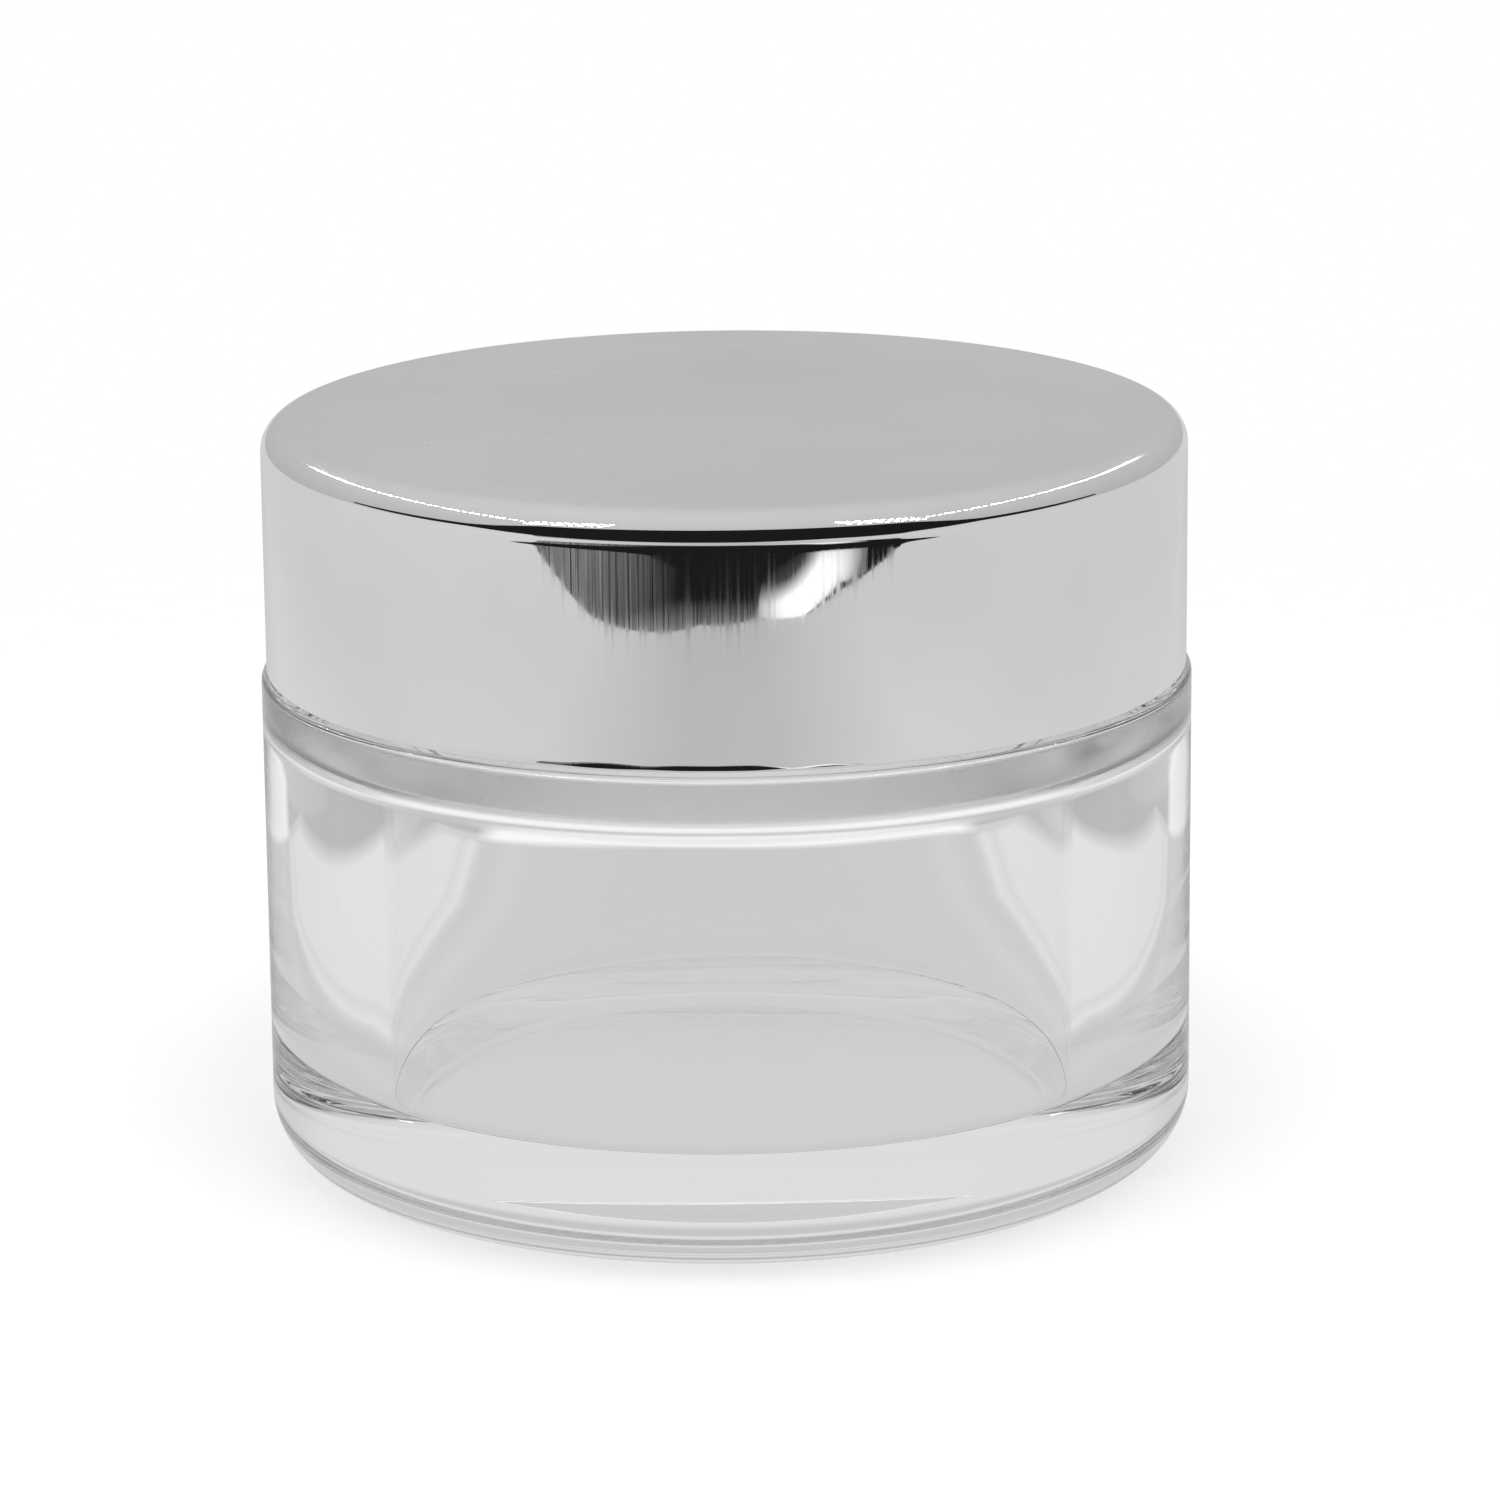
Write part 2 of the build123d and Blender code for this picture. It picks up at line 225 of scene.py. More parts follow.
def turned(name, section, segments=SEGMENTS, shape=None, crease_deg=32.0):
    """A closed mesh turned from a half section.

    shape(angle, radius, z, row) may give each point another radius and z. A section that starts and
    ends on the axis gives a solid with two poles. Any other is a closed loop, a ring.
    """
    on_axis = section[0][0] < 1e-9
    rows = section[1:-1] if on_axis else section
    angles = [2 * pi * k / segments for k in range(segments)]
    points = []
    for row, (radius, z) in enumerate(rows):
        for angle in angles:
            r, h = shape(angle, radius, z, row) if shape else (radius, z)
            points.append((r * cos(angle), r * sin(angle), h))
    faces = []
    loops = len(rows)
    for row in range(loops - 1 if on_axis else loops):
        a, b = row * segments, ((row + 1) % loops) * segments
        for k in range(segments):
            n = (k + 1) % segments
            faces.append((a + k, a + n, b + n, b + k))
    if on_axis:
        first, last = len(points), len(points) + 1
        points += [(0, 0, section[0][1]), (0, 0, section[-1][1])]
        end = (loops - 1) * segments
        for k in range(segments):
            n = (k + 1) % segments
            faces.append((first, n, k))
            faces.append((last, end + k, end + n))
    piece = mesh_piece(name, points, faces)
    piece.data.set_sharp_from_angle(angle=radians(crease_deg))
    return piece


def smooth_step(x):
    x = min(1.0, max(0.0, x))
    return x * x * (3 - 2 * x)


def thread_height(angle, z, thread):
    """How far the thread stands out of its wall at that angle and height."""
    best = 0.0
    turn = angle / (2 * pi) - thread["start_turn"]
    for lap in range(-1, 4):
        along = turn + lap
        if not -RUN_OUT_TURNS < along < THREAD_TURNS + RUN_OUT_TURNS:
            continue
        off = abs(z - thread["start_z"] - LEAD * along)
        side = (thread["root"] / 2 - off) / (thread["root"] / 2 - thread["crest"] / 2)
        into = min(along + RUN_OUT_TURNS, THREAD_TURNS + RUN_OUT_TURNS - along) / RUN_OUT_TURNS
        best = max(best, smooth_step(side) * smooth_step(into) * thread["height"])
    return best


def ripple(angle, z, lobes, pitch, phase):
    """A slow irregular wave from -1 to 1 over a round wall, the same each time."""
    total = sin(lobes * angle + phase + 2.1 * sin(z / pitch))
    total += 0.7 * sin((lobes + 2) * angle - 1.7 * phase + z / (0.7 * pitch))
    total += 0.5 * sin((lobes + 5) * angle + 3.1 * phase - z / (0.5 * pitch))
    return total / 2.2


# ======== Pieces ========

def glass_jar():
    """The jar: its heel, wall, shoulder, threaded neck and rim outside, and its slightly wavy well inside."""
    heel_r = JAR_RADIUS - HEEL_RADIUS
    edge_r = JAR_RADIUS - SHOULDER_EDGE
    lip_z = RIM_Z - LIP_OUTER
    outside = dome(PUNT_RADIUS, PUNT_DEPTH, 0.0)
    outside += flat((PUNT_RADIUS, 0), (heel_r, 0))
    outside += arc((heel_r, HEEL_RADIUS), HEEL_RADIUS, -90, 0, 18)
    outside += flat((JAR_RADIUS, HEEL_RADIUS), (JAR_RADIUS, SHOULDER_Z - SHOULDER_EDGE), 12)
    outside += arc((edge_r, SHOULDER_Z - SHOULDER_EDGE), SHOULDER_EDGE, 0, 90, 9)
    outside += flat((edge_r, SHOULDER_Z), (NECK_RADIUS + NECK_FILLET, SHOULDER_Z))
    outside += arc((NECK_RADIUS + NECK_FILLET, SHOULDER_Z + NECK_FILLET), NECK_FILLET, -90, -180, 6)
    outside += line((NECK_RADIUS, SHOULDER_Z + NECK_FILLET), (NECK_RADIUS, lip_z), 100)
    outside += arc((NECK_RADIUS - LIP_OUTER, lip_z), LIP_OUTER, 0, 90, 9)
    outside += flat((NECK_RADIUS - LIP_OUTER, RIM_Z), (BORE_RADIUS + LIP_INNER, RIM_Z))
    outside += arc((BORE_RADIUS + LIP_INNER, RIM_Z - LIP_INNER), LIP_INNER, 90, 180, 7)
    inner = inner_shoulder()
    outside += flat((BORE_RADIUS, RIM_Z - LIP_INNER), inner[0], 8)[:-1] + inner
    well = line((WELL_TOP_RADIUS, WELL_SHOULDER_Z), (WELL_FOOT_RADIUS, FLOOR_Z + FLOOR_FILLET), 40)
    well += arc((WELL_FOOT_RADIUS - FLOOR_FILLET, FLOOR_Z + FLOOR_FILLET), FLOOR_FILLET, 0, -90, 12)
    well += dome(WELL_FOOT_RADIUS - FLOOR_FILLET, -FLOOR_DIP, FLOOR_Z)[::-1]
    well_row = len(outside)
    well_height = WELL_SHOULDER_Z - FLOOR_Z

    def shape(angle, radius, z, row):
        if row >= well_row:
            share = (z - FLOOR_Z) / well_height
            swell = max(0.0, sin(pi * min(1.0, max(0.0, share)))) ** 0.6
            return radius + WELL_WAVE * swell * ripple(angle, z, 2, 5.5 * MM, 0.8), z
        if abs(radius - NECK_RADIUS) < 1e-7:
            return radius + thread_height(angle, z, JAR_THREAD), z
        return radius, z

    return turned("glass_jar_body", outside + well, shape=shape)


def cap_shell():
    """The drawn shell: its wall, rounded top edge, shallow groove, and foot curled in and flared in front."""
    foot_z = SHELL_LOW.z
    curl_r = SHELL_RADIUS - SHELL_CURL
    lip_r = curl_r - SHELL_LIP
    inner_r = SHELL_RADIUS - SHELL_WALL
    edge_r = SHELL_RADIUS - SHELL_EDGE
    edge_z = TOP_Z - SHELL_EDGE
    curl_z = foot_z + SHELL_CURL
    section = line((0, TOP_Z - SHELL_WALL), (edge_r, TOP_Z - SHELL_WALL), 10)
    section += arc((edge_r, edge_z), SHELL_EDGE - SHELL_WALL, 90, 0, 8)
    section += flat((inner_r, edge_z), (inner_r, curl_z), 6)
    section += arc((curl_r, curl_z), SHELL_CURL - SHELL_WALL, 0, -90, 5)
    section += flat((curl_r, foot_z + SHELL_WALL), (lip_r, foot_z + SHELL_WALL))
    section += arc((lip_r, foot_z + SHELL_WALL / 2), SHELL_WALL / 2, 90, 270, 8)
    outer_row = len(section)
    tight_r = SHELL_RADIUS - SHELL_TIGHT
    section += flat((lip_r, foot_z), (tight_r, foot_z))
    section += arc((tight_r, foot_z + SHELL_TIGHT), SHELL_TIGHT, -90, 0, 6)
    section += line((SHELL_RADIUS, foot_z + SHELL_TIGHT), (SHELL_RADIUS, foot_z + FLARE_HEIGHT), 10)
    section += flat((SHELL_RADIUS, foot_z + FLARE_HEIGHT), (SHELL_RADIUS, edge_z - 0.8 * MM), 12)
    section += line((SHELL_RADIUS, edge_z - 0.8 * MM), (SHELL_RADIUS, edge_z), 20)
    section += arc((edge_r, edge_z), SHELL_EDGE, 0, 90, 14)
    section += flat((edge_r, TOP_Z), (0.2 * MM, TOP_Z), 16) + [(0, TOP_Z)]

    def shape(angle, radius, z, row):
        if row < outer_row or radius < edge_r:
            return radius, z
        if z > foot_z + FLARE_HEIGHT:
            return radius - GROOVE_DEPTH / (1 + ((edge_z - GROOVE_DROP - z) / GROOVE_HALF) ** 4), z
        front = (0.5 + 0.5 * cos(angle + radians(FLARE_ANGLE_DEG))) ** FLARE_NARROWNESS
        uneven = front * (1 + 0.25 * sin(23 * angle) + 0.2 * sin(41 * angle + 1))
        return radius + FLARE * uneven * (1 - (z - foot_z) / FLARE_HEIGHT) ** 2, z

    return turned("cap_shell_metal", section, shape=shape, crease_deg=60)


def inner_cap():
    """The moulded inner cap: plate, thread, liner bead, lead-in, flange and the ribs that grip the shell."""
    foot_z, top_z = INNER_LOW.z, INNER_HIGH.z
    plate_z = top_z - PLATE
    skirt_r = INNER_BORE + INNER_WALL
    flange_z = foot_z + INNER_FLANGE
    rib_r = INNER_HIGH.x
    bead_top = LINER_LOW.z - BEAD_GAP
    section = line((0, plate_z), (INNER_BORE, plate_z), 10)
    section += flat((INNER_BORE, plate_z), (INNER_BORE, bead_top))
    section += arc((INNER_BORE, bead_top - BEAD_HEIGHT / 2), BEAD_HEIGHT / 2, 90, 270, 10)
    section += line((INNER_BORE, bead_top - BEAD_HEIGHT), (INNER_BORE, foot_z + INNER_LEAD_IN), 100)
    section += line((INNER_BORE, foot_z + INNER_LEAD_IN), (INNER_BORE + INNER_LEAD_IN, foot_z), 2)
    section += flat((INNER_BORE + INNER_LEAD_IN, foot_z), (INNER_FLANGE_RADIUS, foot_z))
    section += flat((INNER_FLANGE_RADIUS, foot_z), (INNER_FLANGE_RADIUS, flange_z))
    section += flat((INNER_FLANGE_RADIUS, flange_z), (skirt_r, flange_z))
    section += flat((skirt_r, flange_z), (skirt_r, plate_z), 3)
    section += flat((skirt_r, plate_z), (INNER_FLANGE_RADIUS, plate_z))
    chamfer_z, chamfer_r = top_z - INNER_CHAMFER, INNER_FLANGE_RADIUS - INNER_CHAMFER
    section += line((INNER_FLANGE_RADIUS, plate_z), (INNER_FLANGE_RADIUS, chamfer_z))
    section += line((INNER_FLANGE_RADIUS, chamfer_z), (chamfer_r, top_z))
    section += line((chamfer_r, top_z), (0, top_z), 6) + [(0, top_z)]

    def shape(angle, radius, z, row):
        if abs(radius - INNER_BORE) < 1e-7 and z < bead_top - BEAD_HEIGHT:
            return radius - thread_height(angle, z, CAP_THREAD), z
        if abs(radius - skirt_r) < 1e-7 and flange_z < z < plate_z:
            off = abs((angle * RIB_COUNT / (2 * pi) + 0.5) % 1 - 0.5) * 2 * pi / RIB_COUNT * skirt_r
            return (rib_r if off < RIB_WIDTH / 2 else radius), z
        return radius, z

    return turned("inner_cap_moulding", section, shape=shape)


def cap_liner():
    """The foam liner: die-cut, with soft edges and the faint ring that the rim has pressed into it."""
    low, high, radius = LINER_LOW.z, LINER_HIGH.z, LINER_HIGH.x
    edge = 0.18 * MM
    print_r, print_width, print_depth = 23.7 * MM, 1.5 * MM, 0.12 * MM
    section = line((0, low), (radius - edge, low), 60)
    section += arc((radius - edge, low + edge), edge, -90, 0, 5)
    section += flat((radius, low + edge), (radius, high - edge), 2)
    section += arc((radius - edge, high - edge), edge, 0, 90, 5)
    section += line((radius - edge, high), (0, high), 16) + [(0, high)]

    def shape(angle, r, z, row):
        if z == low:
            off = (r - print_r) / print_width
            return r, z + print_depth / (1 + off ** 4)
        return r, z

    return turned("cap_liner_foam", section, shape=shape)


def rounded_slab(name, outline, low, high, edge, steps=4):
    """A flat piece with that outline, (x, y) points, whose top and bottom edges are rounded."""
    outline = np.array(outline)
    before, after = np.roll(outline, 1, axis=0), np.roll(outline, -1, axis=0)
    along = after - before
    normal = np.stack([along[:, 1], -along[:, 0]], axis=1)
    normal /= np.linalg.norm(normal, axis=1)[:, None]
    rings = [(edge * (1 - sin(a)), low + edge * (1 - cos(a))) for a in np.linspace(0, pi / 2, steps + 1)]
    rings += [(edge * (1 - cos(a)), high - edge * (1 - sin(a))) for a in np.linspace(0, pi / 2, steps + 1)]
    count = len(outline)
    points = []
    for inset, z in rings:
        points += [(x, y, z) for x, y in outline - normal * inset]
    faces = [tuple(range(count))[::-1]]
    for row in range(len(rings) - 1):
        for k in range(count):
            n = (k + 1) % count
            faces.append((row * count + k, row * count + n, (row + 1) * count + n, (row + 1) * count + k))
    faces.append(tuple((len(rings) - 1) * count + k for k in range(count)))
    piece = mesh_piece(name, points, faces)
    piece.data.set_sharp_from_angle(angle=radians(40))
    return piece


def joined_solid(name, base, *added):
    """One closed mesh from several overlapping ones."""
    for other in added:
        union = base.modifiers.new("union", "BOOLEAN")
        union.operation, union.solver, union.object = "UNION", "EXACT", other
    bpy.context.view_layer.update()
    mesh = bpy.data.meshes.new_from_object(base.evaluated_get(bpy.context.evaluated_depsgraph_get()))
    for old in (base, *added):
        bpy.data.objects.remove(old)
    mesh.name = name
    piece = bpy.data.objects.new(name, mesh)
    bpy.context.scene.collection.objects.link(piece)
    return piece


def sealing_disc():
    """The sealing disc: a flange and a plug turned in one, with the pull tab across its recess."""
    top, foot = DISC_HIGH.z, DISC_LOW.z
    radius, edge = DISC_HIGH.x, 0.25 * MM
    flange_z = top - DISC_FLANGE
    floor_r = PLUG_RADIUS - PLUG_WALL
    floor_z = foot + DISC_FLOOR
    corner = 0.4 * MM
    section = line((0, foot), (PLUG_RADIUS - PLUG_LEAD_IN, foot), 8)
    section += line((PLUG_RADIUS - PLUG_LEAD_IN, foot), (PLUG_RADIUS, foot + PLUG_LEAD_IN), 2)
    section += flat((PLUG_RADIUS, foot + PLUG_LEAD_IN), (PLUG_RADIUS, flange_z))
    section += flat((PLUG_RADIUS, flange_z), (radius, flange_z))
    section += flat((radius, flange_z), (radius, top - edge))
    section += arc((radius - edge, top - edge), edge, 0, 90, 6)
    section += flat((radius - edge, top), (floor_r + edge, top), 3)
    section += arc((floor_r + edge, top - edge), edge, 90, 180, 6)
    section += flat((floor_r, top - edge), (floor_r, floor_z + corner), 2)
    section += arc((floor_r - corner, floor_z + corner), corner, 0, -90, 6)
    section += line((floor_r - corner, floor_z), (0, floor_z), 12) + [(0, floor_z)]
    cup = turned("disc_cup", section)

    tip_x = PLUG_RADIUS - TAB_LENGTH + TAB_WIDTH / 2
    root_x = PLUG_RADIUS + 0.6 * MM
    half = TAB_WIDTH / 2
    nose = [(tip_x + half * cos(a), half * sin(a)) for a in np.linspace(pi / 2, 3 * pi / 2, 25)]
    sides = [(root_x, -half), (root_x, half)]
    slab_top = top - 0.05 * MM
    slab = rounded_slab("disc_tab", nose + sides, slab_top - TAB_THICKNESS, slab_top, 0.2 * MM)
    raised = []
    for k in range(TAB_RIB_COUNT):
        x = PLUG_RADIUS - TAB_LENGTH + TAB_RIB_FIRST + TAB_RIB_PITCH * k
        w, h = 0.35 * MM, 4.0 * MM
        outline = [(x - w, -h), (x + w, -h), (x + w, h), (x - w, h)]
        low = slab_top - TAB_THICKNESS - 0.4 * MM
        raised.append(rounded_slab(f"disc_tab_rib_{k}", outline, low, low + 0.8 * MM, 0.1 * MM, 2))
    disc = joined_solid("sealing_disc_moulding", cup, slab, *raised)
    for polygon in disc.data.polygons:
        polygon.use_smooth = True
    disc.data.set_sharp_from_angle(angle=radians(35))
    return disc


def glue_dots():
    """The squeezed dots of hot-melt glue between the inner cap and the shell, each a little uneven."""
    rng = np.random.default_rng(SEED)
    centre_r = 18.0 * MM
    dot_r = 2.1 * MM
    low, high = GLUE_LOW.z, GLUE_HIGH.z
    middle, bulge = (low + high) / 2, (high - low) / 2
    points, faces = [], []
    steps, rows = 32, 9
    for k in range(6):
        turn = k * pi / 3
        centre = np.array([centre_r * cos(turn), centre_r * sin(turn)])
        phases = rng.uniform(0, 2 * pi, 3)
        start = len(points)
        for row in range(rows):
            a = -pi / 2 + pi * row / (rows - 1)
            for s in range(steps):
                b = 2 * pi * s / steps
                uneven = 1 + 0.05 * sin(2 * b + phases[0]) + 0.03 * sin(3 * b + phases[1])
                r = (dot_r - bulge) * uneven + bulge * cos(a) - 0.1 * MM
                points.append((centre[0] + r * cos(b), centre[1] + r * sin(b), middle + bulge * sin(a)))
        for row in range(rows - 1):
            for s in range(steps):
                n = (s + 1) % steps
                i, j = start + row * steps, start + (row + 1) * steps
                faces.append((i + s, i + n, j + n, j + s))
        faces.append(tuple(start + s for s in range(steps))[::-1])
        faces.append(tuple(start + (rows - 1) * steps + s for s in range(steps)))
    piece = mesh_piece("glue_dot_blobs", points, faces)
    piece.data.set_sharp_from_angle(angle=radians(40))
    return piece


# ======== Materials ========

class Paint:
    """A node material with one Principled shader, and short ways to add its pattern nodes."""

    def __init__(self, name, color, roughness, metallic=0.0, ior=1.5):
        self.material = bpy.data.materials.new(name)
        self.material.use_nodes = True
        self.nodes = self.material.node_tree.nodes
        self.links = self.material.node_tree.links
        self.shader = next(n for n in self.nodes if n.type == "BSDF_PRINCIPLED")
        self.set("Base Color", (*color, 1.0))
        self.set("Roughness", roughness)
        self.set("Metallic", metallic)
        self.set("IOR", ior)
        self.place = self.nodes.new("ShaderNodeTexCoord").outputs["Object"]

    def set(self, socket, value):
        self.shader.inputs[socket].default_value = value

    def stretched(self, scale):
        """The piece's own coordinates in metres, scaled along each axis."""
        node = self.nodes.new("ShaderNodeMapping")
        node.inputs["Scale"].default_value = scale
        self.links.new(self.place, node.inputs["Vector"])
        return node.outputs["Vector"]

    def noise(self, scale, detail=3.0, rough=0.5, where=None):
        node = self.nodes.new("ShaderNodeTexNoise")
        node.inputs["Scale"].default_value = scale
        node.inputs["Detail"].default_value = detail
        node.inputs["Roughness"].default_value = rough
        self.links.new(where or self.place, node.inputs["Vector"])
        return node.outputs["Fac"]

    def cells(self, scale):
        node = self.nodes.new("ShaderNodeTexVoronoi")
        node.inputs["Scale"].default_value = scale
        self.links.new(self.place, node.inputs["Vector"])
        return node.outputs["Distance"]

    def ramp(self, value, low, high, to_low=0.0, to_high=1.0):
        """value from low..high mapped to to_low..to_high, and held at the ends."""
        node = self.nodes.new("ShaderNodeMapRange")
        for name, number in (("From Min", low), ("From Max", high), ("To Min", to_low), ("To Max", to_high)):
            node.inputs[name].default_value = number
        self.links.new(value, node.inputs["Value"])
        return node.outputs["Result"]

    def math(self, operation, a, b):
        node = self.nodes.new("ShaderNodeMath")
        node.operation = operation
        for k, value in enumerate((a, b)):
            if isinstance(value, (int, float)):
                node.inputs[k].default_value = value
            else:
                self.links.new(value, node.inputs[k])
        return node.outputs["Value"]

    def toward(self, value, goal, share):
        """value moved that share of the way to a fixed goal."""
        return self.math("ADD", value, self.math("MULTIPLY", self.math("SUBTRACT", goal, value), share))

    def blend(self, factor, low, high):
        """A colour from low to high by factor."""
        node = self.nodes.new("ShaderNodeMix")
        node.data_type = "RGBA"
        node.inputs["A"].default_value = (*low, 1.0)
        node.inputs["B"].default_value = (*high, 1.0)
        self.links.new(factor, node.inputs["Factor"])
        return node.outputs["Result"]

    def drive(self, socket, value):
        self.links.new(value, self.shader.inputs[socket])

    def bump(self, height, distance, strength=1.0):
        node = self.nodes.new("ShaderNodeBump")
        node.inputs["Distance"].default_value = distance
        node.inputs["Strength"].default_value = strength
        self.links.new(height, node.inputs["Height"])
        self.links.new(node.outputs["Normal"], self.shader.inputs["Normal"])

    def along(self, axis):
        node = self.nodes.new("ShaderNodeSeparateXYZ")
        self.links.new(self.place, node.inputs["Vector"])
        return node.outputs[axis]

    def height_above(self):
        return self.along("Z")

    def bearing(self):
        """The direction of a point of the floor in front of the jar, from near its axis, as a slope."""
        ahead = self.math("SUBTRACT", -CAP_FOCUS, self.along("Y"))
        return self.math("DIVIDE", self.along("X"), ahead)

    def distance(self, where=None):
        """How far a point of the piece, or the vector given, is from the origin."""
        node = self.nodes.new("ShaderNodeVectorMath")
        node.operation = "LENGTH"
        self.links.new(where or self.place, node.inputs[0])
        return node.outputs["Value"]


def clear_glass():
    """Polished clear glass with the mould's faint waves, dull marks and a satin inner shoulder."""
    paint = Paint("clear_glass", (1.0, 1.0, 1.0), 0.0, ior=1.52)
    paint.set("Transmission Weight", 1.0)
    marks = paint.ramp(paint.noise(90, 4.0, 0.6), 0.56, 0.8, 0.0, 0.05)
    height = paint.distance(paint.stretched((0, 0, 1)))
    radius = paint.distance(paint.stretched((1, 1, 0)))
    within = paint.ramp(radius, INNER_WALL_LIMIT - 0.4 * MM, INNER_WALL_LIMIT + 0.4 * MM, 1.0, 0.0)
    above = paint.ramp(height, SATIN_FOOT, SATIN_FOOT + 0.4 * MM, 0.0, SATIN_ROUGHNESS)
    below = paint.ramp(height, SATIN_TOP, SATIN_TOP + 0.5 * MM, 1.0, 0.0)
    satin = paint.math("MULTIPLY", paint.math("MULTIPLY", above, below), within)
    paint.drive("Roughness", paint.math("MAXIMUM", marks, satin))
    streaks = paint.noise(1.0, 2.0, 0.5, paint.stretched((420, 420, 30)))
    inner_streaks = paint.math("MULTIPLY", streaks, paint.math("MULTIPLY", within, 0.4))
    waves = paint.math("ADD", paint.noise(140, 1.5, 0.4), inner_streaks)
    paint.bump(waves, 0.004 * MM, 0.5)
    return paint.material


def aluminium():
    """Drawn aluminium: a satin top, a bright wall with fine upright draw lines, and cloudy marks."""
    paint = Paint("aluminium_shell", (0.9, 0.9, 0.91), 0.1, metallic=1.0)
    top = paint.ramp(paint.height_above(), TOP_Z - 0.5 * MM, TOP_Z - 0.02 * MM)
    cloud = paint.noise(38, 4.0, 0.55)
    lines = paint.noise(1.0, 4.0, 0.7, paint.stretched((1500, 1500, 25)))
    top_rough = paint.ramp(cloud, 0.3, 0.7, 0.2, 0.3)
    streaks = paint.noise(1.0, 3.0, 0.7, paint.stretched((3200, 3200, 18)))
    side_rough = paint.ramp(streaks, 0.42, 0.66, 0.014, 0.06)
    mixed = paint.nodes.new("ShaderNodeMix")
    paint.links.new(top, mixed.inputs["Factor"])
    paint.links.new(side_rough, mixed.inputs["A"])
    paint.links.new(top_rough, mixed.inputs["B"])
    paint.drive("Roughness", mixed.outputs["Result"])
    clouded = paint.ramp(cloud, 0.3, 0.7)
    paint.drive("Base Color", paint.blend(clouded, (0.83, 0.83, 0.84), (0.92, 0.92, 0.925)))
    paint.bump(lines, 0.002 * MM, 0.4)
    return paint.material


def white_plastic():
    """Moulded white polypropylene: half gloss, with a fine moulded grain and a slight change of tone."""
    paint = Paint("white_plastic", (0.86, 0.86, 0.85), 0.35)
    tone = paint.noise(120, 3.0)
    paint.drive("Base Color", paint.blend(tone, (0.9, 0.9, 0.89), (0.95, 0.95, 0.94)))
    paint.drive("Roughness", paint.ramp(tone, 0.3, 0.7, 0.28, 0.42))
    paint.bump(paint.noise(2500, 2.0), 0.01 * MM, 0.3)
    return paint.material


def liner_foam():
    """Fine closed-cell foam: small dimpled cells under a dull skin, with painted shade darkening the middle
    of each dimple.
    """
    paint = Paint("liner_foam", (0.88, 0.88, 0.87), 0.6)
    cells = paint.cells(2200)
    # painted shade: the colour darkens towards each cell's middle, where the bump is lowest
    paint.drive("Base Color", paint.blend(paint.ramp(cells, 0.0, 0.6), (0.8, 0.8, 0.79), (0.91, 0.91, 0.9)))
    paint.drive("Roughness", paint.ramp(paint.noise(300), 0.3, 0.7, 0.5, 0.7))
    paint.bump(cells, 0.05 * MM, 0.6)
    return paint.material


def disc_plastic():
    """Moulded polyethylene, milky and soft looking, with a fine grain."""
    paint = Paint("disc_plastic", (0.86, 0.87, 0.87), 0.4)
    paint.set("Subsurface Weight", 0.15)
    paint.set("Subsurface Scale", 0.5 * MM)
    tone = paint.noise(150, 3.0)
    paint.drive("Base Color", paint.blend(tone, (0.9, 0.91, 0.91), (0.95, 0.955, 0.955)))
    paint.drive("Roughness", paint.ramp(tone, 0.3, 0.7, 0.3, 0.48))
    paint.bump(paint.noise(1800, 2.0), 0.01 * MM, 0.35)
    return paint.material


def glue():
    """Set hot-melt glue, amber white and uneven."""
    paint = Paint("hot_melt_glue", (0.8, 0.75, 0.6), 0.3)
    tone = paint.noise(700, 3.0)
    paint.drive("Base Color", paint.blend(tone, (0.74, 0.68, 0.52), (0.86, 0.82, 0.7)))
    paint.drive("Roughness", paint.ramp(tone, 0.3, 0.7, 0.2, 0.45))
    paint.bump(tone, 0.03 * MM, 0.5)
    return paint.material


# ======== Camera, light and stage ========
#
# The camera sees a plain pale floor and a white backdrop. Only the glass sees the painted floor and the
# glass sky, and only the metal sees the tent, its front and its cards. Their places and brightnesses suit
# the view from the front with the cap on; nothing here follows the camera.

def make_camera():
    """The camera stands off the jar's front, above it, and rolled and aimed a little off the jar's middle."""
    elevation = radians(CAMERA_ELEVATION_DEG)
    away = Vector((0, -cos(elevation), sin(elevation)))
    place = CAMERA_TARGET + away * CAMERA_DISTANCE
    roll = Quaternion((0, 0, 1), -radians(CAMERA_ROLL_DEG))
    level = (-away).to_track_quat("-Z", "Y") @ roll
    aim = CAMERA_TARGET + level @ Vector((CAMERA_AIM_RIGHT, CAMERA_AIM_UP, 0))
    data = bpy.data.cameras.new("camera")
    data.lens, data.sensor_width = CAMERA_LENS_MM, CAMERA_SENSOR_MM
    data.clip_start, data.clip_end = 0.01, 20
    camera = bpy.data.objects.new("camera", data)
    bpy.context.scene.collection.objects.link(camera)
    camera.location = place
    camera.rotation_mode = "QUATERNION"
    camera.rotation_quaternion = (aim - place).to_track_quat("-Z", "Y") @ roll
    bpy.context.scene.camera = camera


def only_seen_by(piece, *kinds):
    """Lets only those kinds of ray see a piece of the studio."""
    for kind in ("camera", "diffuse", "glossy", "transmission", "shadow"):
        setattr(piece, f"visible_{kind}", kind in kinds)


def stage_card(name, corners, faces, strength, shade=None):
    """A card of the studio, lit from itself. shade(paint) may give it a pattern of brightness."""
    card = mesh_piece(name, corners, faces, smooth=False)
    paint = Paint(name, (0.0, 0.0, 0.0), 1.0)
    paint.set("Specular IOR Level", 0.0)
    paint.set("Emission Color", (1.0, 1.0, 1.0, 1.0))
    paint.set("Emission Strength", strength)
    if shade:
        paint.drive("Emission Strength", shade(paint))
    paint.material.cycles.emission_sampling = "NONE"
    card.data.materials.append(paint.material)
    return card


